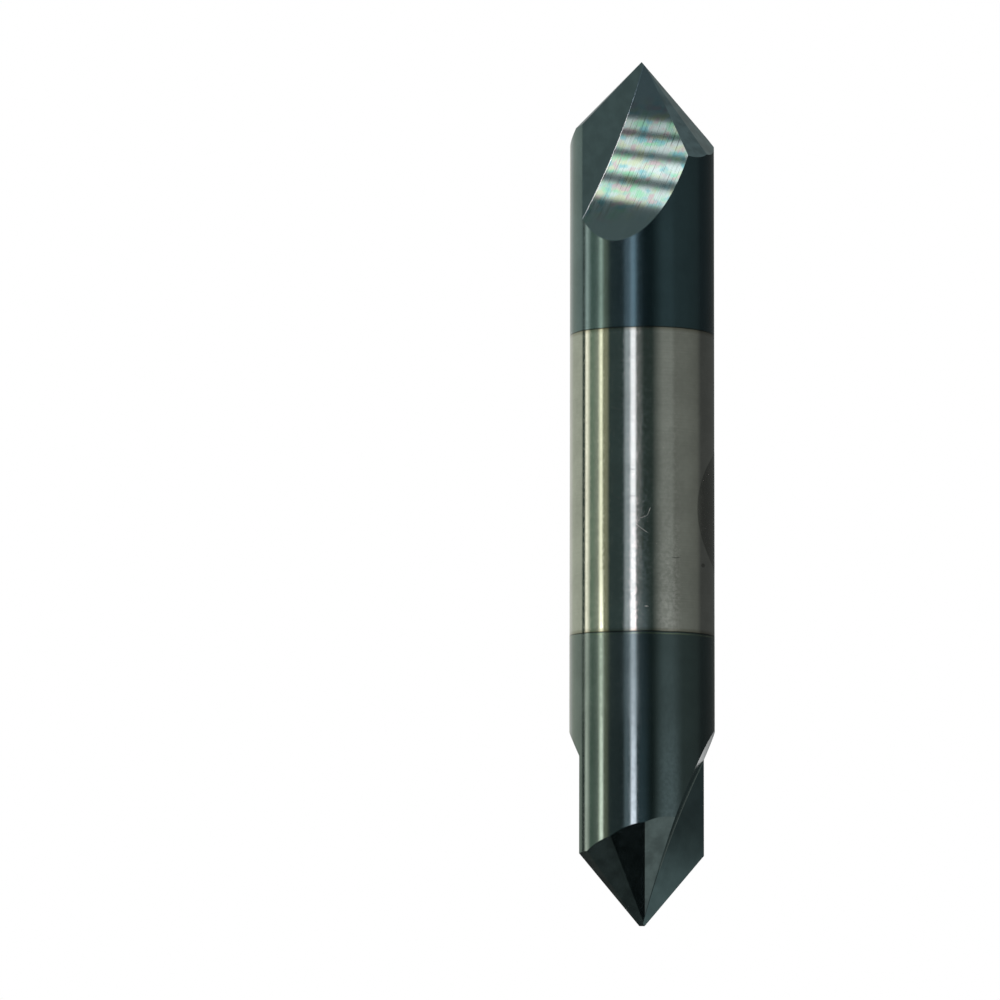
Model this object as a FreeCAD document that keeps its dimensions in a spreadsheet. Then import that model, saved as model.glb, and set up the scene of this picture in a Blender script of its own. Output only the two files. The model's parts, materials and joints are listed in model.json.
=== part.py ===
import FreeCAD, Part
import os

import Sketcher
from FreeCAD import Placement, Rotation, Vector

# Double-ended chamfer mill, ground from one bar of solid carbide.
# Each end carries two straight flutes and two teeth whose lips meet at the point.
# Z is the axis of the tool, the origin is its middle, and all four lips lie along X.
# Lengths are millimetres and angles are degrees.

# Sizes that are set by hand.
SIZES = [
    ("shank_diameter", 12.7, "outside diameter, the same from end to end"),
    ("overall_length", 76.2, "point to point"),
    ("point_angle", 90, "angle between the two lips of one end"),
    ("web_thickness", 0.4, "metal left between the two rake faces"),
    ("chisel_angle", 50, "from a lip to the short chisel edge on the web"),
    ("flute_length", 14.6, "point to where the flute's inner corner leaves the outside"),
    ("flute_start", 0.38, "depth of the flute's inner corner where it crosses the axis"),
    ("wheel_radius", 75, "grinding wheel, at the edge that cuts the inner corner"),
    ("wheel_bevel", 32.2, "lean of the wheel's rim, which grinds the back of the flute"),
    ("relief_angle_1", 11.9, "primary relief, straight behind the lip"),
    ("relief_angle_2", 40.2, "second relief"),
    ("relief_angle_3", 51.0, "third relief"),
    ("relief_angle_4", 55.7, "heel relief, which runs into the next flute"),
    ("facet_start_2", 10.3, "angle behind the lip where the second facet begins"),
    ("facet_start_3", 29.5, "angle behind the lip where the third facet begins"),
    ("facet_start_4", 57, "angle behind the lip where the heel facet begins"),
    ("grinding_stock", 0.05, "left on the turned blank's points for the facets to remove"),
]

FACETS = (1, 2, 3, 4)

# Sizes that follow from the ones above.
# lip_drop and relief_drop are how far a facet falls for each millimetre outward along
# the lip and for each millimetre behind it. A facet starts level with the one before it.
DERIVED = [
    ("shank_radius", "shank_diameter / 2"),
    ("half_length", "overall_length / 2"),
    ("web_half", "web_thickness / 2"),
    ("chisel_out", "web_half / tan(chisel_angle)"),
    ("chisel_reach", "sqrt(chisel_out ^ 2 + web_half ^ 2)"),
    ("relief_drop_1", "tan(relief_angle_1)"),
    ("relief_drop_2", "tan(relief_angle_2)"),
    ("relief_drop_3", "tan(relief_angle_3)"),
    ("relief_drop_4", "tan(relief_angle_4)"),
    ("lip_drop_1", "1 / tan(point_angle / 2)"),
    ("lip_drop_2", "lip_drop_1 + (relief_drop_1 - relief_drop_2) * tan(facet_start_2)"),
    ("lip_drop_3", "lip_drop_2 + (relief_drop_2 - relief_drop_3) * tan(facet_start_3)"),
    ("lip_drop_4", "lip_drop_3 + (relief_drop_3 - relief_drop_4) * tan(facet_start_4)"),
    # The primary facet passes through the inner end of its own lip, and the others
    # through the far end of the chisel edge, so that none of them cuts the other tooth.
    ("facet_rise_1", "lip_drop_1 * chisel_out - relief_drop_1 * web_half"),
    ("facet_rise_2", "relief_drop_2 * web_half - lip_drop_2 * chisel_out"),
    ("facet_rise_3", "relief_drop_3 * web_half - lip_drop_3 * chisel_out"),
    ("facet_rise_4", "relief_drop_4 * web_half - lip_drop_4 * chisel_out"),
    ("chisel_crown", "min(facet_rise_1; facet_rise_2; facet_rise_3; facet_rise_4)"),
    ("chisel_height", "half_length - chisel_crown"),
    ("cut_top", "half_length + shank_radius"),
    ("facet_reach", "2 * shank_radius"),
    ("facet_width", "4 * shank_radius"),
    # The blank's cone has the lips' slope and clears them by the stock.
    ("blank_half", "half_length + grinding_stock"),
    ("cone_apex", "chisel_height + lip_drop_1 * chisel_reach + grinding_stock"),
    ("blank_tip_radius", "(cone_apex - blank_half) / lip_drop_1"),
    ("blank_shoulder", "cone_apex - lip_drop_1 * shank_radius"),
    # The wheel's edge passes through the flute's two ends, a chord of its circle.
    ("flute_drop", "flute_length - flute_start"),
    ("flute_chord", "sqrt(shank_radius ^ 2 + flute_drop ^ 2)"),
    ("wheel_offset", "sqrt(wheel_radius ^ 2 - flute_chord ^ 2 / 4)"),
    ("wheel_centre_x", "shank_radius / 2 + wheel_offset * flute_drop / flute_chord"),
    ("wheel_rise", "wheel_offset * shank_radius / flute_chord - (flute_start + flute_length) / 2"),
    ("wheel_centre_z", "half_length + wheel_rise"),
    ("wheel_back", "web_half + shank_radius"),
    ("wheel_rim_z", "wheel_centre_z - wheel_radius"),
    ("wheel_back_rim_z", "wheel_rim_z - shank_radius * tan(wheel_bevel)"),
]

for facet in FACETS:
    slope = f"sqrt(lip_drop_{facet} ^ 2 + relief_drop_{facet} ^ 2)"
    DERIVED += [
        (f"facet_turn_{facet}", f"atan2(relief_drop_{facet}; lip_drop_{facet})"),
        (f"facet_slope_{facet}", slope),
        (f"facet_apex_{facet}", f"chisel_height + facet_rise_{facet}"),
        (f"facet_inner_{facet}", f"(facet_apex_{facet} - cut_top) / facet_slope_{facet}"),
        (f"facet_outer_z_{facet}", f"facet_apex_{facet} - facet_slope_{facet} * facet_reach"),
    ]


# The sheet holds the driving sizes first and the sizes that follow from them below.
def fill_sheet(sheet):
    row = 0
    for alias, value, note in SIZES:
        row += 1
        sheet.set(f"A{row}", alias)
        sheet.set(f"B{row}", str(value))
        sheet.set(f"C{row}", note)
        sheet.setAlias(f"B{row}", alias)
    for alias, formula in DERIVED:
        row += 1
        sheet.set(f"A{row}", alias)
        sheet.set(f"B{row}", "=" + formula)
        sheet.setAlias(f"B{row}", alias)


doc = FreeCAD.newDocument("chamfer_mill")
sheet = doc.addObject("Spreadsheet::Sheet", "Sizes")
fill_sheet(sheet)
doc.recompute()

body = doc.addObject("PartDesign::Body", "chamfer_mill")
body.Label = "chamfer_mill"


def origin_item(role):
    return next(item for item in body.Origin.OriginFeatures if item.Role == role)


# A closed outline in a sketch on one of the body's own planes.
# Each corner is a pair of sheet names, or None for a coordinate on the axis.
def draw_outline(name, plane, corners):
    sketch = body.newObject("Sketcher::SketchObject", name)
    sketch.AttachmentSupport = [(origin_item(plane), "")]
    sketch.MapMode = "FlatFace"
    points = []
    for across, up in corners:
        start_x = float(sheet.get(across)) if across else 0
        start_y = float(sheet.get(up)) if up else 0
        points.append(Vector(start_x, start_y, 0))
    count = len(points)
    for index in range(count):
        sketch.addGeometry(Part.LineSegment(points[index], points[(index + 1) % count]))
    for index in range(count):
        sketch.addConstraint(Sketcher.Constraint("Coincident", index, 2, (index + 1) % count, 1))
    for index, (across, up) in enumerate(corners):
        for kind, source, axis in (("DistanceX", across, -2), ("DistanceY", up, -1)):
            if source is None:
                sketch.addConstraint(Sketcher.Constraint("PointOnObject", index, 1, axis))
                continue
            value = float(sheet.get(source))
            place = sketch.addConstraint(Sketcher.Constraint(kind, -1, 1, index, 1, value))
            sketch.setExpression(f"Constraints[{place}]", f"{sheet.Name}.{source}")
    return sketch


# The blank: a turned bar with a cone at each end, drawn as half its outline.
# The lower half mirrors the upper one.
blank_sketch = draw_outline(
    "blank_outline",
    "XZ_Plane",
    [
        (None, None),
        ("shank_radius", None),
        ("shank_radius", "blank_shoulder"),
        ("blank_tip_radius", "blank_half"),
        (None, "blank_half"),
    ],
)
half_blank = body.newObject("PartDesign::Revolution", "half_blank")
half_blank.Profile = blank_sketch
half_blank.ReferenceAxis = (origin_item("Z_Axis"), [""])
half_blank.Angle = 360
doc.recompute()

blank = body.newObject("PartDesign::Mirrored", "blank")
blank.Originals = [half_blank]
blank.MirrorPlane = (origin_item("XY_Plane"), [""])
body.Tip = blank
doc.recompute()
blank_volume = body.Shape.Volume

# One flute of the upper end. The wheel spins about a line along Y, beside the point:
# its flat side grinds the rake face and its bevelled rim grinds the back of the flute.
wheel_sketch = draw_outline(
    "wheel_outline",
    "YZ_Plane",
    [
        ("web_half", "wheel_centre_z"),
        ("web_half", "wheel_rim_z"),
        ("wheel_back", "wheel_back_rim_z"),
        ("wheel_back", "wheel_centre_z"),
    ],
)
wheel_sketch.setExpression("AttachmentOffset.Base.z", f"{sheet.Name}.wheel_centre_x")
doc.recompute()
flute = body.newObject("PartDesign::Groove", "flute")
flute.Profile = wheel_sketch
flute.ReferenceAxis = (wheel_sketch, ["Edge4"])
flute.Angle = 360
body.Tip = flute
doc.recompute()
if body.Shape.Volume >= blank_volume:
    raise RuntimeError("the wheel cuts no flute")

# The relief facets of one tooth, each a flat that falls away behind the lip.
# A facet is cut by a wedge drawn in the upright plane of its steepest slope.
facet_cuts = []
for facet in FACETS:
    before = body.Shape.Volume
    wedge_sketch = draw_outline(
        f"facet_{facet}_outline",
        "XZ_Plane",
        [
            (f"facet_inner_{facet}", "cut_top"),
            ("facet_reach", f"facet_outer_z_{facet}"),
            ("facet_reach", "cut_top"),
        ],
    )
    wedge_sketch.AttachmentOffset = Placement(Vector(), Rotation(Vector(0, -1, 0), 1))
    wedge_sketch.setExpression(
        "AttachmentOffset.Rotation.Angle", f"{sheet.Name}.facet_turn_{facet}"
    )
    cut = body.newObject("PartDesign::Pocket", f"facet_{facet}")
    cut.Profile = wedge_sketch
    cut.Midplane = True
    cut.setExpression("Length", f"{sheet.Name}.facet_width")
    body.Tip = cut
    doc.recompute()
    if body.Shape.Volume >= before:
        raise RuntimeError(f"facet {facet} cuts nothing")
    facet_cuts.append(cut)

# The other three teeth and flutes are the first ones turned half a turn:
# about the tool's own axis at the same end, and end over end at the other.
for axis in ("Z_Axis", "X_Axis", "Y_Axis"):
    before = body.Shape.Volume
    half_turn = body.newObject("PartDesign::PolarPattern", f"turned_about_{axis[0].lower()}")
    half_turn.Originals = [flute] + facet_cuts
    half_turn.Axis = (origin_item(axis), [""])
    half_turn.Angle = 360
    half_turn.Occurrences = 2
    body.Tip = half_turn
    doc.recompute()
    if body.Shape.Volume >= before:
        raise RuntimeError(f"the half turn about {axis} cuts nothing")

# Every object has to be sound before the part is written.
for item in doc.Objects:
    if "Invalid" in item.State or "Error" in item.State:
        raise RuntimeError(f"{item.Name} failed: {item.State}")
if body.Shape.isNull() or not body.Shape.isValid() or len(body.Shape.Solids) != 1:
    raise RuntimeError("the body is not one sound solid")

box = body.Shape.BoundBox
print(f"{body.Label}: {box.XLength:.3f} x {box.YLength:.3f} x {box.ZLength:.3f} mm")
print(f"{body.Label}: {body.Shape.Volume:.1f} cubic millimetres")

os.makedirs("parts", exist_ok=True)
body.Shape.exportStep(os.path.join("parts", body.Label + ".step"))
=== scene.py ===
import json
import math

import bmesh
import bpy
from mathutils import Matrix, Vector


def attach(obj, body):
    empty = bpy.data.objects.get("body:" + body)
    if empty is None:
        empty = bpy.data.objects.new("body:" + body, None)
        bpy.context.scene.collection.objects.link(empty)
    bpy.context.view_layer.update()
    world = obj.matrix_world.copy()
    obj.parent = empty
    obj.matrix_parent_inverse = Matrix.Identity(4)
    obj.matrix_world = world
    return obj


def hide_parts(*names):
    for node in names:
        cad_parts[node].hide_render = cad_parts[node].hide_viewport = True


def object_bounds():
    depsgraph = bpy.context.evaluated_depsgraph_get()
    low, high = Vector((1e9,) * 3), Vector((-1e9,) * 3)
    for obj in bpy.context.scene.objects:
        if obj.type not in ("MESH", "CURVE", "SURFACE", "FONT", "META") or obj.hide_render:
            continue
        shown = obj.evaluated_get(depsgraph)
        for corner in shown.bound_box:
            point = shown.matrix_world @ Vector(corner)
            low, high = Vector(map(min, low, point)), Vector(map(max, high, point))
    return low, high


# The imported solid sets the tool's place and size.
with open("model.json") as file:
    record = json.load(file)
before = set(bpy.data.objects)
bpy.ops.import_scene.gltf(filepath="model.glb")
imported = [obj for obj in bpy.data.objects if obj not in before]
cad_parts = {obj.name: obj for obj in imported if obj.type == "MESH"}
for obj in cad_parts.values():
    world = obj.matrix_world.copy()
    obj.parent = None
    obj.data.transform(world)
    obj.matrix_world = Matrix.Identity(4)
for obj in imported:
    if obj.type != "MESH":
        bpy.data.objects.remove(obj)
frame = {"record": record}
cad_low, cad_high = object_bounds()

# The camera stands a little below the tool's middle and looks up at it, so both
# cutting ends are seen as the photograph shows them. The frame is 1000 by 1000.
FRAME_PIXELS = 1000
SENSOR_MM = 36.0
FOCAL_PIXELS = 4741.0
VIEW_AZIMUTH = math.radians(-33.0)
VIEW_ELEVATION = math.radians(-6.24)
CAMERA_DISTANCE = 0.416
TOOL_MIDDLE_PIXEL = (642.0, 490.1)

to_camera = Vector((
    math.sin(VIEW_AZIMUTH) * math.cos(VIEW_ELEVATION),
    -math.cos(VIEW_AZIMUTH) * math.cos(VIEW_ELEVATION),
    math.sin(VIEW_ELEVATION),
))
off_axis = Vector((
    (TOOL_MIDDLE_PIXEL[0] - FRAME_PIXELS / 2) / FOCAL_PIXELS,
    (FRAME_PIXELS / 2 - TOOL_MIDDLE_PIXEL[1]) / FOCAL_PIXELS,
    -1.0,
))
camera = bpy.data.objects.new("camera", bpy.data.cameras.new("camera"))
bpy.context.scene.collection.objects.link(camera)
bpy.context.scene.camera = camera
camera.data.sensor_width = SENSOR_MM
camera.data.lens = FOCAL_PIXELS / FRAME_PIXELS * SENSOR_MM
camera.location = to_camera * CAMERA_DISTANCE
camera.rotation_mode = "QUATERNION"
aim = (-to_camera).to_track_quat("-Z", "Y")
camera.rotation_quaternion = aim @ off_axis.rotation_difference(Vector((0, 0, -1)))

# The blank is a ground bar of solid tungsten carbide, one piece from point to point.
# It is round all along, and the relief facets and the flutes are cut into its ends.
MM = 0.001
SHANK_RADIUS = frame["record"]["mounts"][0]["dims"]["r_mm"]
HALF_LENGTH = (cad_high.z - cad_low.z) / 2 / MM
ROUND_SIDES = 360
RING_STEP = 3.0
POINT_STOCK = 0.5


# A closed tube of rings stacked along Z, in millimetres, with a flat lid at each end.
def turn_blank(mesh, radius, heights, sides):
    rings = []
    for height in heights:
        ring = []
        for side in range(sides):
            angle = 2 * math.pi * side / sides
            ring.append(mesh.verts.new((radius * math.cos(angle), radius * math.sin(angle), height)))
        rings.append(ring)
    for lower, upper in zip(rings, rings[1:]):
        for side in range(sides):
            after = (side + 1) % sides
            mesh.faces.new((lower[side], lower[after], upper[after], upper[side]))
    mesh.faces.new(list(reversed(rings[0])))
    mesh.faces.new(rings[-1])


blank_top = HALF_LENGTH + POINT_STOCK
ring_count = round(2 * blank_top / RING_STEP)
ring_heights = [blank_top * (2 * step / ring_count - 1) for step in range(ring_count + 1)]
tool_mesh = bmesh.new()
turn_blank(tool_mesh, SHANK_RADIUS, ring_heights, ROUND_SIDES)

# The relief facets: four flats behind each lip, ground one after another so that the
# metal falls away ever more steeply towards the heel. They leave a short chisel edge.
POINT_ANGLE = math.radians(90)
WEB_HALF = 0.2
CHISEL_ANGLE = math.radians(50)
RELIEF_ANGLES = [math.radians(angle) for angle in (11.9, 40.2, 51.0, 55.7)]
FACET_STARTS = [math.radians(angle) for angle in (0, 10.3, 29.5, 57)]
CUT_TOLERANCE = 1e-7

chisel_out = WEB_HALF / math.tan(CHISEL_ANGLE)
facets = []
lip_drop = 1 / math.tan(POINT_ANGLE / 2)
relief_before = None
for relief_angle, start in zip(RELIEF_ANGLES, FACET_STARTS):
    relief_drop = math.tan(relief_angle)
    if relief_before is None:
        rise = lip_drop * chisel_out - relief_drop * WEB_HALF
    else:
        lip_drop += (relief_before - relief_drop) * math.tan(start)
        rise = relief_drop * WEB_HALF - lip_drop * chisel_out
    facets.append((lip_drop, relief_drop, rise))
    relief_before = relief_drop
chisel_height = HALF_LENGTH - min(rise for _, _, rise in facets)

# The four teeth are one tooth turned by half turns about the row's three axes.
HALF_TURNS = [Vector((1, 1, 1)), Vector((-1, -1, 1)), Vector((1, -1, -1)), Vector((-1, 1, -1))]


def turned(vector, half_turn):
    return Vector(a * b for a, b in zip(vector, half_turn))


for half_turn in HALF_TURNS:
    for lip_drop, relief_drop, rise in facets:
        cut = bmesh.ops.bisect_plane(
            tool_mesh,
            geom=tool_mesh.verts[:] + tool_mesh.edges[:] + tool_mesh.faces[:],
            dist=CUT_TOLERANCE,
            plane_co=turned((0, 0, chisel_height + rise), half_turn),
            plane_no=turned((lip_drop, -relief_drop, 1), half_turn),
            clear_outer=True,
        )
        rim = [item for item in cut["geom_cut"] if isinstance(item, bmesh.types.BMEdge)]
        bmesh.ops.contextual_create(tool_mesh, geom=rim)


def mesh_object(name, mesh):
    bmesh.ops.recalc_face_normals(mesh, faces=mesh.faces)
    data = bpy.data.meshes.new(name)
    mesh.to_mesh(data)
    mesh.free()
    made = bpy.data.objects.new(name, data)
    bpy.context.scene.collection.objects.link(made)
    return made


tool = mesh_object("ground_tool", tool_mesh)

# The flutes: each is one plunge of a wide grinding wheel that spins about a line along Y.
# Its flat side leaves the rake face, its bevelled rim leaves the back of the flute, and
# its worn corner leaves a hair-thin round between the two.
FLUTE_LENGTH = 14.6
FLUTE_START = 0.38
WHEEL_RADIUS = 75.0
WHEEL_BEVEL = math.radians(32.2)
WHEEL_CORNER = 0.1
CORNER_STEPS = 5
WHEEL_HUB = 60.0
WHEEL_SWEEP = (math.radians(8), math.radians(40))
WHEEL_STEPS = 300
SLIVER = 0.002

flute_drop = FLUTE_LENGTH - FLUTE_START
flute_chord = math.hypot(SHANK_RADIUS, flute_drop)
wheel_offset = math.sqrt(WHEEL_RADIUS ** 2 - flute_chord ** 2 / 4)
wheel_x = SHANK_RADIUS / 2 + wheel_offset * flute_drop / flute_chord
wheel_z = HALF_LENGTH + wheel_offset * SHANK_RADIUS / flute_chord - (FLUTE_START + FLUTE_LENGTH) / 2
wheel_back = WEB_HALF + SHANK_RADIUS
back_radius = WHEEL_RADIUS + (wheel_back - WEB_HALF) * math.tan(WHEEL_BEVEL)
corner_radius = WHEEL_RADIUS - WHEEL_CORNER * (1 - math.sin(WHEEL_BEVEL)) / math.cos(WHEEL_BEVEL)
corner_across = WEB_HALF + WHEEL_CORNER
corner_turn = math.pi / 2 - WHEEL_BEVEL


# The sector of the wheel that meets the tool, in millimetres, for one of the four flutes.
def wheel_sector(half_turn):
    mesh = bmesh.new()
    outline = [(WHEEL_HUB, WEB_HALF)]
    for step in range(CORNER_STEPS + 1):
        turn = corner_turn * step / CORNER_STEPS
        radius = corner_radius + WHEEL_CORNER * math.sin(turn)
        outline.append((radius, corner_across - WHEEL_CORNER * math.cos(turn)))
    outline += [(back_radius, wheel_back), (WHEEL_HUB, wheel_back)]
    slices = []
    for step in range(WHEEL_STEPS + 1):
        angle = WHEEL_SWEEP[0] + (WHEEL_SWEEP[1] - WHEEL_SWEEP[0]) * step / WHEEL_STEPS
        corners = []
        for radius, across in outline:
            place = (wheel_x - radius * math.cos(angle), across, wheel_z - radius * math.sin(angle))
            corners.append(mesh.verts.new(turned(place, half_turn)))
        slices.append(corners)
    for before, after in zip(slices, slices[1:]):
        for corner in range(len(outline)):
            following = (corner + 1) % len(outline)
            mesh.faces.new((before[corner], before[following], after[following], after[corner]))
    mesh.faces.new(slices[0])
    mesh.faces.new(slices[-1])
    return mesh_object("wheel", mesh)


for half_turn in HALF_TURNS:
    wheel = wheel_sector(half_turn)
    grind = tool.modifiers.new("grind", "BOOLEAN")
    grind.operation = "DIFFERENCE"
    grind.solver = "EXACT"
    grind.object = wheel
    with bpy.context.temp_override(object=tool, active_object=tool):
        bpy.ops.object.modifier_apply(modifier=grind.name)
    bpy.data.objects.remove(wheel)

tool_mesh = bmesh.new()
tool_mesh.from_mesh(tool.data)
bmesh.ops.remove_doubles(tool_mesh, verts=tool_mesh.verts, dist=SLIVER)
bmesh.ops.dissolve_degenerate(tool_mesh, edges=tool_mesh.edges, dist=SLIVER)
tool_mesh.to_mesh(tool.data)
tool_mesh.free()

# The direction of every ground surface, from the formula of the wheel that made it, so
# that reflections run over it without facets. A map called grind holds, in millimetres,
# how far each spot lies across the grinding lines and along them.
ROUND, RELIEF, RAKE, FLUTE_BACK = range(4)
ON_SURFACE = 0.004


# Where a spot lies on the flute's wheel: off its surface, outward direction, grind place.
def on_wheel(spot, half_turn):
    x, y, z = turned(spot, half_turn)
    reach = Vector((x - wheel_x, 0, z - wheel_z))
    radius = reach.length
    turn = min(max(math.atan2(radius - corner_radius, corner_across - y), 0), corner_turn)
    out = (radius - corner_radius) * math.sin(turn) + (corner_across - y) * math.cos(turn)
    across = (radius - corner_radius) * math.cos(turn) - (corner_across - y) * math.sin(turn)
    along = WHEEL_RADIUS * math.atan2(wheel_z - z, wheel_x - x)
    direction = Vector((0, math.cos(turn), 0)) - reach.normalized() * math.sin(turn)
    return abs(out - WHEEL_CORNER), turned(direction, half_turn), (across, along)


# The finish of one face, with a direction and a grind place for each of its corners.
def ground_by(corners, flat_direction):
    if abs(flat_direction.z) < ON_SURFACE:
        if all(abs(math.hypot(spot.x, spot.y) - SHANK_RADIUS) < ON_SURFACE for spot in corners):
            directions = [Vector((spot.x, spot.y, 0)).normalized() for spot in corners]
            middle = sum(corners, Vector()) / len(corners)
            start = math.atan2(middle.y, middle.x)
            places = []
            for spot in corners:
                swing = math.remainder(math.atan2(spot.y, spot.x) - start, 2 * math.pi)
                places.append((spot.z, SHANK_RADIUS * (start + swing)))
            return ROUND, directions, places
    for half_turn in HALF_TURNS:
        found = [on_wheel(spot, half_turn) for spot in corners]
        if all(off < ON_SURFACE for off, _, _ in found):
            if flat_direction.dot(found[0][1]) > 0:
                finish = RAKE if abs(flat_direction.y) > 1 - ON_SURFACE else FLUTE_BACK
                return finish, [item[1] for item in found], [item[2] for item in found]
    level = Vector((0, 0, 1)).cross(flat_direction).normalized()
    upward = flat_direction.cross(level)
    places = [(spot.dot(upward), spot.dot(level)) for spot in corners]
    return RELIEF, [flat_direction] * len(corners), places


def dress_surfaces(data):
    directions = [None] * len(data.loops)
    grind_map = data.uv_layers.new(name="grind")
    for face in data.polygons:
        corners = [data.vertices[index].co.copy() for index in face.vertices]
        face.material_index, towards, places = ground_by(corners, face.normal.copy())
        face.use_smooth = True
        for loop, direction, place in zip(face.loop_indices, towards, places):
            directions[loop] = direction
            grind_map.data[loop].uv = place
    data.transform(Matrix.Scale(MM, 4))
    data.normals_split_custom_set(directions)


dress_surfaces(tool.data)
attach(tool, "root")
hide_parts("chamfer_mill")

# The round surface: centreless ground and lapped cemented carbide, bare in the middle.
# Both ends carry a hard coating a few thousandths of a millimetre thick, blue-grey and
# darker on the upper end. On the two sides in line with the lips a painted sheen makes
# the coat paler, where it catches more light.
BARE_CARBIDE = (0.47, 0.475, 0.455)
BARE_STAINED = (0.30, 0.29, 0.25)
STAINED_FROM = (-0.45, 0.0)
COAT_UPPER = (0.054, 0.093, 0.111)
COAT_UPPER_PAINTED_SHEEN = (0.145, 0.200, 0.225)
COAT_LOWER = (0.078, 0.112, 0.118)
COAT_LOWER_PAINTED_SHEEN = (0.18, 0.218, 0.222)
COAT_MILKINESS = 0.03
PAINTED_SHEEN_FROM = (0.60, 0.85)
UPPER_END_FROM = (-1.0, 1.0)
# The coat's border on each end wanders and blurs a little, and a dark line runs along it.
# A thin pale line shows in patches just inside the lower coat. All are in millimetres.
COAT_EDGE_UPPER = 13.58
COAT_EDGE_LOWER = -12.90
EDGE_WANDER = 0.16
EDGE_WANDER_GRAIN = 2.5
EDGE_BLUR = 0.03
EDGE_LINE = (0.016, 0.02, 0.016)
EDGE_LINE_WIDTH = 0.07
EDGE_LINE_STRENGTH = 0.8
THIN_LINE = (0.20, 0.25, 0.17)
THIN_LINE_INSIDE = 0.17
THIN_LINE_WIDTH = (0.07, 0.02)
THIN_LINE_GRAIN = 3.0
THIN_LINE_PATCHES = (0.40, 0.60)
THIN_LINE_STRENGTH = 0.8
# What varies the shade: each pattern's grain and detail, or the width and length of its
# lines, and how deeply it shows.
MOTTLING = (0.5, 4.0)
MOTTLING_DEPTH = 0.16
ROUND_LINES = (0.12, 9.0)
ROUND_LINES_DEPTH = 0.11
SMUDGES = (3.5, 4.0)
SMUDGED_FROM = (0.35, 0.65)
SMUDGE_DEPTH = 0.12
# Roughness and relief. The coat is duller than the bare metal, less so near the lower
# point, and has less grain.
ROUGHNESS = 0.045
ROUGH_GRAIN = (0.3, 3.0)
ROUGH_GRAIN_FROM = (0.35, 0.65)
ROUGH_GRAIN_BARE = 0.09
ROUGH_GRAIN_COATED = 0.045
COAT_ROUGHER = 0.092
LOWER_END_SMOOTH = (-19.0, -23.0)
LOWER_END_SMOOTHER = 0.05
RIPPLE_GRAIN = 0.4
FINE_RIPPLE_GRAIN = 0.14
FINE_RIPPLE_SHARE = 0.15
COAT_RIPPLE_LESS = 0.4
ROUND_RIPPLE_MICRONS = 0.18
# Marks on the bare middle: how far round from +X and how high each one's middle lies, its
# length and its width, all in millimetres, and its slope in degrees.
# The round field is only made darker and rougher; nothing is drawn in it.
DULL_FIELD = (-2.72, -2.05, 10.9, 10.9, 0)
DULL_FIELD_BLUR = 0.01
DULL_FIELD_DEPTH = 0.45
DULL_FIELD_ROUGHER = 0.14
SCRATCHES = [
    (-13.62, -4.04, 1.15, 0.07, -36),
    (-13.44, -2.98, 0.62, 0.06, 21),
    (-13.03, -2.54, 0.75, 0.06, 68),
    (-13.24, -10.74, 0.34, 0.12, -8),
]
SCRATCH_ROUGHER = 0.45
SCRATCH_DEPTH = 1.5
STAINS = [
    (-10.57, -6.48, 0.75, 0.09, 2),
    (-7.35, -6.96, 0.60, 0.35, 4),
    (-14.48, 1.14, 0.74, 0.05, -1),
    (-14.48, -1.20, 0.74, 0.05, -1),
]
STAIN_DEPTH = 0.45


# One shader node with its options set and its inputs joined or filled in.
def place_node(tree, kind, feeds=None, **options):
    made = tree.nodes.new(kind)
    for option, value in options.items():
        setattr(made, option, value)
    for name, feed in (feeds or {}).items():
        if isinstance(feed, bpy.types.NodeSocket):
            tree.links.new(feed, made.inputs[name])
        else:
            made.inputs[name].default_value = feed
    return made


def reckon(tree, operation, first, second=0.0, third=0.0):
    feeds = {0: first, 1: second, 2: third}
    return place_node(tree, "ShaderNodeMath", feeds, operation=operation).outputs[0]


def product(tree, result, *factors):
    for factor in factors:
        result = reckon(tree, "MULTIPLY", result, factor)
    return result


# A soft step from 0 to 1 as the value goes from low to high, or from 1 to 0 if low is larger.
def soft_step(tree, value, low, high):
    feeds = {"Value": value, "From Min": low, "From Max": high}
    return place_node(tree, "ShaderNodeMapRange", feeds, interpolation_type="SMOOTHSTEP").outputs[0]


def blend_colour(tree, share, first, second, mode="MIX"):
    made = place_node(tree, "ShaderNodeMix", data_type="RGBA", blend_type=mode, clamp_factor=True)
    for index, feed in ((0, share), (6, first), (7, second)):
        if isinstance(feed, bpy.types.NodeSocket):
            tree.links.new(feed, made.inputs[index])
        elif isinstance(feed, tuple):
            made.inputs[index].default_value = (*feed, 1)
        else:
            made.inputs[index].default_value = feed
    return made.outputs[2]


# Fine noise in the grind map, stretched to a width and a length in millimetres.
def grinding_marks(tree, width, length, detail=2.0):
    grind = place_node(tree, "ShaderNodeUVMap", uv_map="grind").outputs[0]
    feeds = {0: grind, 1: (1 / width, 1 / length, 0)}
    scaled = place_node(tree, "ShaderNodeVectorMath", feeds, operation="MULTIPLY").outputs[0]
    feeds = {"Vector": scaled, "Scale": 1.0, "Detail": detail}
    return place_node(tree, "ShaderNodeTexNoise", feeds, noise_dimensions="2D").outputs[0]


# Noise in the solid itself, with grains of a given size in millimetres.
def solid_noise(tree, grain, detail=2.0):
    spot = place_node(tree, "ShaderNodeTexCoord").outputs["Object"]
    feeds = {"Vector": spot, "Scale": 1 / (grain * MM), "Detail": detail}
    return place_node(tree, "ShaderNodeTexNoise", feeds).outputs[0]


def new_finish(name):
    made = bpy.data.materials.new(name)
    made.use_nodes = True
    tree = made.node_tree
    shader = tree.nodes["Principled BSDF"]
    shader.inputs["Metallic"].default_value = 1
    tool.data.materials.append(made)
    return tree, shader


def spot_in_mm(tree):
    feeds = {0: place_node(tree, "ShaderNodeTexCoord").outputs["Object"], "Scale": 1 / MM}
    scaled = place_node(tree, "ShaderNodeVectorMath", feeds, operation="SCALE").outputs[0]
    return place_node(tree, "ShaderNodeSeparateXYZ", {0: scaled}).outputs


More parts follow.
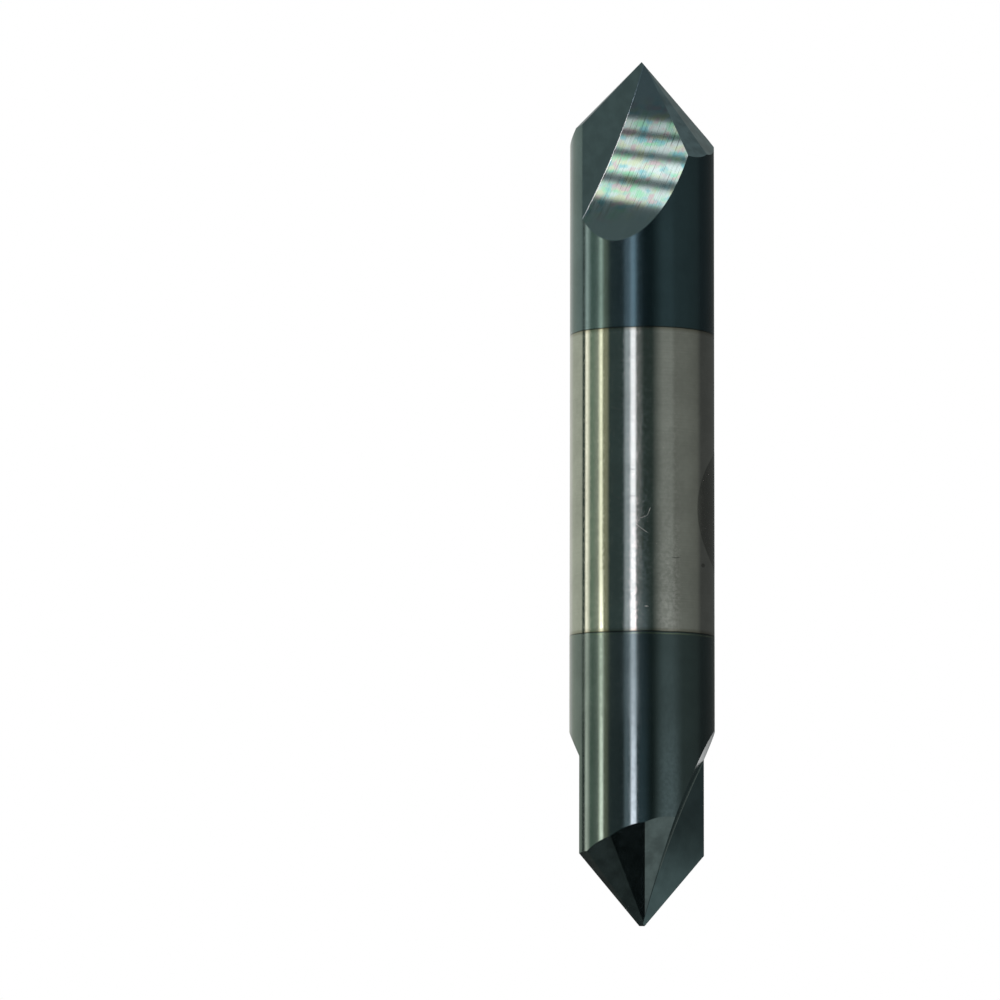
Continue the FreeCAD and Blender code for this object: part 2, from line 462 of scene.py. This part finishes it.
def raise_marks(tree, shader, height, microns):
    feeds = {"Height": height, "Strength": 1.0, "Distance": microns * MM * MM}
    tree.links.new(place_node(tree, "ShaderNodeBump", feeds).outputs[0], shader.inputs["Normal"])


# The share of a small mark at a spot, from its middle, its length and width and its slope.
def small_mark(tree, place, around, height, length, width, slope, blur=0.3):
    feeds = {"Vector": place, "Center": (around, height, 0), "Angle": math.radians(slope)}
    level = place_node(tree, "ShaderNodeVectorRotate", feeds, rotation_type="Z_AXIS", invert=True).outputs[0]
    grow = Vector((2 / length, 2 / width, 0))
    back = Vector((-around * grow.x, -height * grow.y, 0))
    feeds = {0: level, 1: grow, 2: back}
    sized = place_node(tree, "ShaderNodeVectorMath", feeds, operation="MULTIPLY_ADD").outputs[0]
    away = place_node(tree, "ShaderNodeVectorMath", {0: sized}, operation="LENGTH").outputs["Value"]
    return soft_step(tree, away, 1 + blur, 1 - blur)


def all_marks(tree, place, marks):
    share = small_mark(tree, place, *marks[0])
    for mark in marks[1:]:
        share = reckon(tree, "MAXIMUM", share, small_mark(tree, place, *mark))
    return share


# A shade about 1 that follows a pattern from 0 to 1, by the depth given.
def varied(tree, pattern, depth):
    return reckon(tree, "MULTIPLY_ADD", pattern, depth, 1 - depth / 2)


# A shade that is 1 away from a mark and falls by the depth given on it.
def lessened(tree, mark, depth):
    return reckon(tree, "MULTIPLY_ADD", mark, -depth, 1.0)


def shade_colour(tree, colour, level):
    grey = place_node(tree, "ShaderNodeCombineColor", {index: level for index in range(3)}).outputs[0]
    return blend_colour(tree, 1.0, colour, grey, "MULTIPLY")


# How far a spot lies inside the coat of the nearer end, and inside the lower one.
def inside_coat(tree, z):
    noise = solid_noise(tree, EDGE_WANDER_GRAIN)
    height = reckon(tree, "ADD", z, reckon(tree, "MULTIPLY_ADD", noise, EDGE_WANDER, -EDGE_WANDER / 2))
    upper = reckon(tree, "SUBTRACT", height, COAT_EDGE_UPPER)
    lower = reckon(tree, "SUBTRACT", COAT_EDGE_LOWER, height)
    return reckon(tree, "MAXIMUM", upper, lower), lower


def round_colour(tree, x, z, in_coat, in_lower_coat, cover):
    # The paler sides are painted sheen, not the coat's own colour.
    painted_sheen = soft_step(tree, reckon(tree, "ABSOLUTE", reckon(tree, "DIVIDE", x, SHANK_RADIUS)), *PAINTED_SHEEN_FROM)
    upper = blend_colour(tree, painted_sheen, COAT_UPPER, COAT_UPPER_PAINTED_SHEEN)
    lower = blend_colour(tree, painted_sheen, COAT_LOWER, COAT_LOWER_PAINTED_SHEEN)
    coat = blend_colour(tree, soft_step(tree, z, *UPPER_END_FROM), lower, upper)
    bare = blend_colour(tree, soft_step(tree, in_coat, *STAINED_FROM), BARE_CARBIDE, BARE_STAINED)
    colour = blend_colour(tree, cover, bare, coat)
    edge = soft_step(tree, reckon(tree, "ABSOLUTE", in_coat), EDGE_LINE_WIDTH, EDGE_LINE_WIDTH / 3)
    colour = blend_colour(tree, reckon(tree, "MULTIPLY", edge, EDGE_LINE_STRENGTH), colour, EDGE_LINE)
    off_line = reckon(tree, "ABSOLUTE", reckon(tree, "SUBTRACT", in_lower_coat, THIN_LINE_INSIDE))
    patches = soft_step(tree, solid_noise(tree, THIN_LINE_GRAIN), *THIN_LINE_PATCHES)
    line = product(tree, soft_step(tree, off_line, *THIN_LINE_WIDTH), patches, THIN_LINE_STRENGTH)
    return blend_colour(tree, line, colour, THIN_LINE)


def round_shade(tree, field, stains):
    mottling = varied(tree, solid_noise(tree, *MOTTLING), MOTTLING_DEPTH)
    lines = varied(tree, grinding_marks(tree, *ROUND_LINES), ROUND_LINES_DEPTH)
    smudges = varied(tree, soft_step(tree, solid_noise(tree, *SMUDGES), *SMUDGED_FROM), SMUDGE_DEPTH)
    marks = product(tree, lessened(tree, field, DULL_FIELD_DEPTH), lessened(tree, stains, STAIN_DEPTH))
    return product(tree, mottling, lines, smudges, marks)


def round_roughness(tree, z, cover, field, scratches):
    less = ROUGH_GRAIN_COATED - ROUGH_GRAIN_BARE
    grain = soft_step(tree, solid_noise(tree, *ROUGH_GRAIN), *ROUGH_GRAIN_FROM)
    rough = reckon(tree, "MULTIPLY_ADD", cover, less, ROUGH_GRAIN_BARE)
    rough = reckon(tree, "MULTIPLY_ADD", grain, rough, ROUGHNESS)
    smooth_end = soft_step(tree, z, *LOWER_END_SMOOTH)
    coat_rougher = reckon(tree, "MULTIPLY_ADD", smooth_end, -LOWER_END_SMOOTHER, COAT_ROUGHER)
    rough = reckon(tree, "MULTIPLY_ADD", cover, coat_rougher, rough)
    rough = reckon(tree, "MULTIPLY_ADD", field, DULL_FIELD_ROUGHER, rough)
    return reckon(tree, "MULTIPLY_ADD", scratches, SCRATCH_ROUGHER, rough)


def round_relief(tree, cover, scratches):
    fine = solid_noise(tree, FINE_RIPPLE_GRAIN)
    ripple = reckon(tree, "MULTIPLY_ADD", fine, FINE_RIPPLE_SHARE, solid_noise(tree, RIPPLE_GRAIN))
    ripple = reckon(tree, "MULTIPLY", ripple, lessened(tree, cover, COAT_RIPPLE_LESS))
    return reckon(tree, "MULTIPLY_ADD", scratches, -SCRATCH_DEPTH, ripple)


def round_finish():
    tree, shader = new_finish("round_carbide")
    x, y, z = spot_in_mm(tree)
    in_coat, in_lower_coat = inside_coat(tree, z)
    cover = soft_step(tree, in_coat, -EDGE_BLUR, EDGE_BLUR)
    around = reckon(tree, "MULTIPLY", reckon(tree, "ARCTAN2", y, x), SHANK_RADIUS)
    place = place_node(tree, "ShaderNodeCombineXYZ", {0: around, 1: z}).outputs[0]
    field = small_mark(tree, place, *DULL_FIELD, blur=DULL_FIELD_BLUR)
    scratches = all_marks(tree, place, SCRATCHES)
    stains = all_marks(tree, place, STAINS)
    colour = round_colour(tree, x, z, in_coat, in_lower_coat, cover)
    colour = shade_colour(tree, colour, round_shade(tree, field, stains))
    tree.links.new(colour, shader.inputs["Base Color"])
    tree.links.new(lessened(tree, cover, COAT_MILKINESS), shader.inputs["Metallic"])
    tree.links.new(round_roughness(tree, z, cover, field, scratches), shader.inputs["Roughness"])
    raise_marks(tree, shader, round_relief(tree, cover, scratches), ROUND_RIPPLE_MICRONS)


round_finish()

# The relief facets and the rake faces: ground flat with a fine wheel and coated too. Their
# coating looks paler and patchier than that of the round part. On the rake faces of the
# lower end, shade is painted in, darker away from the point towards the flute's root.
COAT_GROUND = (0.19, 0.28, 0.31)
GROUND_PATCHES = (1.3, 5.0)
GROUND_PATCHED_FROM = (0.32, 0.68)
GROUND_LINES = (0.08, 12.0)
GROUND_LINES_DEPTH = 0.14
GROUND_ROUGHNESS = 0.10
GROUND_ROUGH_GRAIN = 0.6
GROUND_ROUGH_GRAIN_DEPTH = 0.08
GROUND_RIPPLE_MICRONS = 0.1
LOWER_PAINTED_SHADE_FROM = (-36.0, -29.0)
RELIEF_PATCH_DEPTH = 0.42
RAKE_PATCH_DEPTH = 0.18
RAKE_PAINTED_SHADE_DEPTH = 0.68


def flat_ground_finish(name, patch_depth, painted_shade_depth):
    tree, shader = new_finish(name)
    z = spot_in_mm(tree)[2]
    patches = soft_step(tree, solid_noise(tree, *GROUND_PATCHES), *GROUND_PATCHED_FROM)
    patches = varied(tree, patches, patch_depth)
    lines = varied(tree, grinding_marks(tree, *GROUND_LINES), GROUND_LINES_DEPTH)
    # Painted shade: the lower rake faces darken away from the point, towards the flute's root.
    painted_shade = lessened(tree, soft_step(tree, z, *LOWER_PAINTED_SHADE_FROM), painted_shade_depth)
    upper_shade = reckon(tree, "MULTIPLY", soft_step(tree, z, *UPPER_END_FROM), patches)
    shade = reckon(tree, "MAXIMUM", product(tree, patches, lines, painted_shade), upper_shade)
    tree.links.new(shade_colour(tree, COAT_GROUND, shade), shader.inputs["Base Color"])
    grain = solid_noise(tree, GROUND_ROUGH_GRAIN)
    rough = reckon(tree, "MULTIPLY_ADD", grain, GROUND_ROUGH_GRAIN_DEPTH, GROUND_ROUGHNESS)
    tree.links.new(rough, shader.inputs["Roughness"])
    raise_marks(tree, shader, grinding_marks(tree, *GROUND_LINES), GROUND_RIPPLE_MICRONS)


flat_ground_finish("relief_facets", RELIEF_PATCH_DEPTH, 0.0)
flat_ground_finish("rake_faces", RAKE_PATCH_DEPTH, RAKE_PAINTED_SHADE_DEPTH)

# The backs of the flutes: ground by the wheel's bevelled rim and coated. Fine lines run
# along the grind, so light spreads across them. Over most of them rainbow colours are
# painted in, a painted reflection of light split by the fine lines.
WHITE = (1.0, 1.0, 1.0)
RAINBOW_ZONE_FROM = (22.3, 25.3)
RAINBOW_ZONE_TO = (35.5, 32.5)
# Painted rainbow colours, a painted reflection of light split by the grinding lines:
# colour, how wide and how long its patches are in millimetres, and the noise level from
# which each shows.
PAINTED_RAINBOW = [
    ((0.60, 1.00, 0.70), 2.0, 1.3, 0.44),
    ((0.46, 0.80, 0.88), 1.5, 1.0, 0.48),
    ((1.00, 0.96, 0.72), 1.7, 1.2, 0.48),
    ((1.00, 0.72, 0.76), 1.2, 0.9, 0.52),
]
RAINBOW_DETAIL = 1.0
RAINBOW_BLUR = 0.28
RAINBOW_STREAKS = (0.13, 1.4)
RAINBOW_STREAK_DEPTH = 0.3
BACK_LINES = (0.06, 9.0, 3.0)
BACK_LINES_DEPTH = 0.24
SCORES = (0.09, 4.0, 3.0)
SCORED_FROM = (0.40, 0.28)
SCORE_DEPTH = 0.5
# A pale colour painted on the corner round between rake and back: a painted highlight.
CORNER_PAINTED_HIGHLIGHT = (0.40, 0.48, 0.49)
CORNER_HIGHLIGHT_WIDTH = 0.03
CORNER_HIGHLIGHT_TO = (33.8, 32.8)
BACK_ROUGHNESS = 0.07
BACK_SPREAD = 0.9
BACK_RIPPLE_MICRONS = 0.05


# The painted rainbow: colours of split light laid into the coat's colour.
def painted_rainbow(tree):
    noise = grinding_marks(tree, *RAINBOW_STREAKS)
    streaks = reckon(tree, "MULTIPLY_ADD", noise, RAINBOW_STREAK_DEPTH, -RAINBOW_STREAK_DEPTH / 2)
    rainbow = WHITE
    for colour, width, length, level in PAINTED_RAINBOW:
        patches = reckon(tree, "ADD", grinding_marks(tree, width, length, RAINBOW_DETAIL), streaks)
        rainbow = blend_colour(tree, soft_step(tree, patches, level, level + RAINBOW_BLUR), rainbow, colour)
    return rainbow


def flute_back_finish():
    tree, shader = new_finish("flute_backs")
    height = reckon(tree, "ABSOLUTE", spot_in_mm(tree)[2])
    zone = product(tree, soft_step(tree, height, *RAINBOW_ZONE_FROM), soft_step(tree, height, *RAINBOW_ZONE_TO))
    # The painted rainbow is mixed into the coat's colour within its zone.
    rainbow_coloured = blend_colour(tree, 1.0, COAT_GROUND, painted_rainbow(tree), "MULTIPLY")
    colour = blend_colour(tree, zone, COAT_GROUND, rainbow_coloured)
    grind = place_node(tree, "ShaderNodeUVMap", uv_map="grind").outputs[0]
    across = place_node(tree, "ShaderNodeSeparateXYZ", {0: grind}).outputs[0]
    # The painted highlight along the corner round.
    on_corner = soft_step(tree, across, CORNER_HIGHLIGHT_WIDTH, 0.0)
    corner_highlight = product(tree, on_corner, zone, soft_step(tree, height, *CORNER_HIGHLIGHT_TO))
    colour = blend_colour(tree, corner_highlight, colour, CORNER_PAINTED_HIGHLIGHT)
    lines = varied(tree, grinding_marks(tree, *BACK_LINES), BACK_LINES_DEPTH)
    scores = reckon(tree, "MULTIPLY", soft_step(tree, grinding_marks(tree, *SCORES), *SCORED_FROM), zone)
    shade = reckon(tree, "MULTIPLY", lines, lessened(tree, scores, SCORE_DEPTH))
    tree.links.new(shade_colour(tree, colour, shade), shader.inputs["Base Color"])
    shader.inputs["Roughness"].default_value = BACK_ROUGHNESS
    shader.inputs["Anisotropic"].default_value = BACK_SPREAD
    tangent = place_node(tree, "ShaderNodeTangent", direction_type="UV_MAP", uv_map="grind")
    tree.links.new(tangent.outputs[0], shader.inputs["Tangent"])
    raise_marks(tree, shader, grinding_marks(tree, *BACK_LINES), BACK_RIPPLE_MICRONS)


flute_back_finish()

# The floor is a pale round sheet some way below the tool, which hangs in the air as it
# does in the photograph. It fades out at its rim, so no horizon shows, and its underside
# is clear, so it doesn't veil the tool when seen from below.
FLOOR_HEIGHT = -0.10
FLOOR_RADIUS = 0.45
FLOOR_SOLID_RADIUS = FLOOR_RADIUS / 4
FLOOR_SIDES = 96
FLOOR_COLOUR = (0.86, 0.86, 0.86)
FLOOR_ROUGHNESS = 0.9

floor_mesh = bmesh.new()
bmesh.ops.create_circle(floor_mesh, cap_ends=True, segments=FLOOR_SIDES, radius=FLOOR_RADIUS)
floor = mesh_object("floor", floor_mesh)
floor.location.z = FLOOR_HEIGHT
floor.visible_glossy = False
floor_paint = bpy.data.materials.new("floor_paint")
floor_paint.use_nodes = True
floor_tree = floor_paint.node_tree
floor_shader = floor_tree.nodes["Principled BSDF"]
floor_shader.inputs["Base Color"].default_value = (*FLOOR_COLOUR, 1)
floor_shader.inputs["Roughness"].default_value = FLOOR_ROUGHNESS
floor_shader.inputs["Specular IOR Level"].default_value = 0
floor_spot = place_node(floor_tree, "ShaderNodeTexCoord").outputs["Object"]
floor_reach = place_node(floor_tree, "ShaderNodeVectorMath", {0: floor_spot}, operation="LENGTH")
floor_fade = soft_step(floor_tree, floor_reach.outputs["Value"], FLOOR_RADIUS, FLOOR_SOLID_RADIUS)
floor_underside = place_node(floor_tree, "ShaderNodeNewGeometry").outputs["Backfacing"]
floor_shown = reckon(floor_tree, "MULTIPLY", floor_fade, lessened(floor_tree, floor_underside, 1.0))
floor_tree.links.new(floor_shown, floor_shader.inputs["Alpha"])
floor.data.materials.append(floor_paint)

# The studio: a ring of tall cards and lamps stands round the tool, and the polished metal
# mirrors it. The camera itself sees plain white behind the tool. Each card of the ring has
# a start and an end, in degrees round from the camera to the right, and its brightness.
RING_CARDS = [
    (-180, -150, (0.69, 0.70, 0.64)),
    (-142, -111.5, (0.57, 0.61, 0.50)),
    (-109, -103.5, (0.06, 0.085, 0.07)),
    (-101, -98.5, (1.70, 1.68, 1.38)),
    (-90, -84, (0.24, 0.33, 0.24)),
    (-74.5, -74.5, (0.38, 0.43, 0.34)),
    (-68.8, -67.2, (1.85, 1.90, 1.42)),
    (-64.5, -58, (0.36, 0.38, 0.25)),
    (-53, -30, (0.050, 0.078, 0.076)),
    (-25.5, -19.5, (0.48, 0.56, 0.60)),
    (-16.8, -11.3, (1.78, 1.86, 1.95)),
    (-8.5, -8.5, (0.28, 0.31, 0.30)),
    (3, 16, (0.042, 0.062, 0.056)),
    (33, 48, (0.31, 0.335, 0.305)),
    (54, 74, (0.22, 0.235, 0.21)),
    (98, 98, (0.175, 0.185, 0.165)),
    (108, 165, (0.085, 0.090, 0.085)),
    (180, 180, (0.20, 0.20, 0.20)),
]
BRIGHTEST = 2.0
# The cards and lamps hung before the ring. A place is a middle, how far from it the card
# is full and where it has faded, in degrees round, and a height is the same upwards.
BACKDROP_CARDS = [(-176, 4, 8), (178, 2, 6.3)]
BACKDROP_HEIGHT = (0, 6, 10)
LOW_CARDS = [((-3, 3, 19), (0.20, 0.27, 0.30)), ((-67.3, 1.8, 4.5), (3.3, 3.3, 2.65))]
LOW_CARD_HEIGHT = (2, 2.4, 3.2)
LAMP_BRIGHT = (8.6, 6.9, 7.3)
LAMP_LOW = (-13.1, 3.2, 5.0)
LAMP_LOW_HEIGHT = (0, 3.1, 3.9)
LAMP_HIGH = (-15, 3, 5)
LAMP_HIGH_HEIGHT = (45, 6.5, 9)
SHEET = (44, 4, 26)
SHEET_HEIGHT = (2.3, 0.3, 2.6)
SHEET_BRIGHT = (0.85, 0.86, 0.84)
SIDE_SHEET = (150, 22, 42)
SIDE_SHEET_HEIGHT = (34, 10, 16)
SIDE_SHEET_BRIGHT = (0.235, 0.25, 0.235)
# A louvre of slats lights the backs of the flutes. Each slat has a height, half its width
# and its share of the louvre's brightness.
LOUVRE = (-56, 20, 32)
LOUVRE_BRIGHT = (4.0, 3.3, 2.9)
LOUVRE_SLATS = [(44.4, 0.5, 0.5), (46.2, 0.6, 0.7), (48.4, 0.8, 1.0), (50.9, 0.75, 0.9)]
SLAT_BLUR = 0.4
# The ceiling and the ground let some of the ring show through. Dark and pale cards lie on
# the ground, each with its middle and half its width, round and in height.
CEILING = (0.21, 0.22, 0.235)
CEILING_SHARE = 0.72
CEILING_FROM = (13, 20)
OVERHEAD = (0.9, 0.9, 0.9)
OVERHEAD_FROM = (60, 70)
GROUND = (0.50, 0.51, 0.49)
GROUND_SHARE = 0.7
GROUND_FROM = (-12, -32)
GROUND_CARDS = [
    ((-132, 22), (-45, 12), (0.08, 0.072, 0.06)),
    ((-60, 50), (-74, 13), (0.06, 0.06, 0.052)),
    ((15, 42), (-73, 13), (0.008, 0.009, 0.008)),
    ((70, 22), (-58, 12), (0.31, 0.285, 0.25)),
]
GROUND_CARD_BLUR = 0.2

world = bpy.data.worlds.new("studio")
bpy.context.scene.world = world
world.use_nodes = True
world.cycles.sampling_method = "NONE"
studio = world.node_tree
background = studio.nodes["Background"]

towards = place_node(studio, "ShaderNodeTexCoord").outputs["Generated"]
side_axis = (math.cos(VIEW_AZIMUTH), math.sin(VIEW_AZIMUTH), 0)
front_axis = (math.sin(VIEW_AZIMUTH), -math.cos(VIEW_AZIMUTH), 0)
sideways = place_node(studio, "ShaderNodeVectorMath", {0: towards, 1: side_axis}, operation="DOT_PRODUCT")
frontways = place_node(studio, "ShaderNodeVectorMath", {0: towards, 1: front_axis}, operation="DOT_PRODUCT")
swing = reckon(studio, "ARCTAN2", sideways.outputs["Value"], frontways.outputs["Value"])
azimuth = reckon(studio, "MULTIPLY", swing, math.degrees(1))
rise = place_node(studio, "ShaderNodeSeparateXYZ", {0: towards}).outputs[2]
elevation = reckon(studio, "MULTIPLY", reckon(studio, "ARCSINE", rise), math.degrees(1))


# The share of one card that is seen where a direction's angle is near the card's middle.
def card_share(angle, middle, full, faded):
    away = reckon(studio, "ABSOLUTE", reckon(studio, "SUBTRACT", angle, middle))
    return soft_step(studio, away, faded, full)


def blurred(middle, half_width, blur):
    return middle, half_width * (1 - blur), half_width * (1 + blur)


# What is seen once a card hangs before what was there.
def hang_card(seen, place, height, colour, mode="MIX"):
    share = reckon(studio, "MULTIPLY", card_share(azimuth, *place), card_share(elevation, *height))
    return blend_colour(studio, share, seen, colour, mode)


turn_share = reckon(studio, "MULTIPLY_ADD", azimuth, 1 / 360, 0.5)
ring = place_node(studio, "ShaderNodeValToRGB", {0: turn_share})
stops = sorted({(angle, colour) for start, end, colour in RING_CARDS for angle in (start, end)})
ring_stops = ring.color_ramp.elements
ring_stops.remove(ring_stops[1])
for number, (angle, colour) in enumerate(stops):
    share = angle / 360 + 0.5
    if number == 0:
        ring_stops[0].position = share
    else:
        ring_stops.new(share)
    ring_stops[number].color = (*(level / BRIGHTEST for level in colour), 1)
feeds = {0: ring.outputs[0], "Scale": BRIGHTEST}
seen = place_node(studio, "ShaderNodeVectorMath", feeds, operation="SCALE").outputs[0]
for place in BACKDROP_CARDS:
    seen = hang_card(seen, place, BACKDROP_HEIGHT, WHITE)
for place, colour in LOW_CARDS:
    seen = hang_card(seen, place, LOW_CARD_HEIGHT, colour, "LIGHTEN")
seen = hang_card(seen, LAMP_LOW, LAMP_LOW_HEIGHT, LAMP_BRIGHT)
seen = hang_card(seen, SHEET, SHEET_HEIGHT, SHEET_BRIGHT)
ceiling = reckon(studio, "MULTIPLY", soft_step(studio, elevation, *CEILING_FROM), CEILING_SHARE)
seen = blend_colour(studio, ceiling, seen, CEILING)
seen = hang_card(seen, SIDE_SHEET, SIDE_SHEET_HEIGHT, SIDE_SHEET_BRIGHT)
seen = hang_card(seen, LAMP_HIGH, LAMP_HIGH_HEIGHT, LAMP_BRIGHT)
slats = 0.0
for middle, half_width, level in LOUVRE_SLATS:
    slat = card_share(elevation, *blurred(middle, half_width, SLAT_BLUR))
    slats = reckon(studio, "MAXIMUM", slats, reckon(studio, "MULTIPLY", slat, level))
louvre = reckon(studio, "MULTIPLY", slats, card_share(azimuth, *LOUVRE))
seen = blend_colour(studio, louvre, seen, LOUVRE_BRIGHT)
seen = blend_colour(studio, soft_step(studio, elevation, *OVERHEAD_FROM), seen, OVERHEAD)
ground = reckon(studio, "MULTIPLY", soft_step(studio, elevation, *GROUND_FROM), GROUND_SHARE)
seen = blend_colour(studio, ground, seen, GROUND)
for place, height, colour in GROUND_CARDS:
    seen = hang_card(seen, blurred(*place, GROUND_CARD_BLUR), blurred(*height, GROUND_CARD_BLUR), colour)
ray = place_node(studio, "ShaderNodeLightPath").outputs
seen = blend_colour(studio, ray["Is Diffuse Ray"], seen, WHITE)
seen = blend_colour(studio, ray["Is Camera Ray"], seen, WHITE)
studio.links.new(seen, background.inputs["Color"])

bpy.context.scene.view_settings.view_transform = "Standard"
